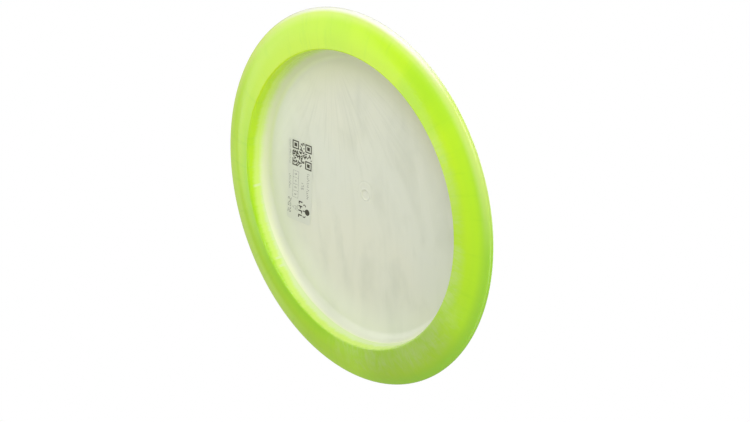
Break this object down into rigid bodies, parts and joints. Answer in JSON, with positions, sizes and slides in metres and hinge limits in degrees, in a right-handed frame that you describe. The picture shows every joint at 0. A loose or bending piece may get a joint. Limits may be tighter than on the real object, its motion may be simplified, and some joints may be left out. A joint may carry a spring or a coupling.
{
  "type": "flying disc",
  "caption": "Distance flying disc for lawn and course throwing games: a domed pale flight plate, a wide sharp-nosed green rim moulded round it and a clear label under the plate.",
  "frame": {"origin": "on the disc's axis, in the plane that the rim's flat underside rests on", "axes": "+Z along the axis, from the open underside to the domed top; +X from the axis through the label under the plate"},
  "size_m": [0.211, 0.211, 0.0183],
  "materials": {
    "plate_plastic": "milky translucent, satin gloss",
    "rim_plastic": "bright lime, slightly translucent, satin gloss",
    "label_film": "clear film, satin",
    "label_ink": "flat dark grey print"
  },
  "bodies": {
    "root": {"flight_plate": "plate_plastic", "rim": "rim_plastic", "label": "label_film"}
  },
  "joints": []
}
